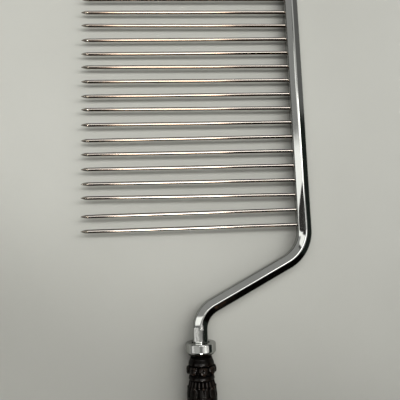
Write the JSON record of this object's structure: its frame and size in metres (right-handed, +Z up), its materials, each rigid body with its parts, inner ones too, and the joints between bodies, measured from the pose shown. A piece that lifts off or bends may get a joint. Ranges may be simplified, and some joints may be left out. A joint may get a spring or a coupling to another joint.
{
  "type": "grill comb",
  "caption": "Barbecue turner with a comb of pointed steel rods on a bent hexagonal bar, a steel ferrule and a carved wooden handle.",
  "frame": {"origin": "under the middle of the bounding box, on the level of the ferrule's lowest point; the handle's axis stands over X = 0", "axes": "+Y from the handle to the far end of the comb, +Z up out of the comb's plane, and the rods point along -X"},
  "size_m": [0.1914, 0.483, 0.0243],
  "materials": {
    "chrome": "polished",
    "rod_steel": "drawn, slightly heat-tinted",
    "zinc_steel": "zinc plated",
    "dark_wood": "carved and oiled"
  },
  "bodies": {
    "root": {"hex_bar": "chrome", "ferrule": "chrome", "handle": "dark_wood", "tie_rod": "zinc_steel", "end_washer": "chrome", "cap_nut": "chrome", "tine_01": "rod_steel", "tine_02": "rod_steel", "tine_03": "rod_steel", "tine_04": "rod_steel", "tine_05": "rod_steel", "tine_06": "rod_steel", "tine_07": "rod_steel", "tine_08": "rod_steel", "tine_09": "rod_steel", "tine_10": "rod_steel", "tine_11": "rod_steel", "tine_12": "rod_steel", "tine_13": "rod_steel", "tine_14": "rod_steel", "tine_15": "rod_steel", "tine_16": "rod_steel", "tine_17": "rod_steel", "tine_18": "rod_steel", "tine_19": "rod_steel", "tine_20": "rod_steel"}
  },
  "joints": []
}
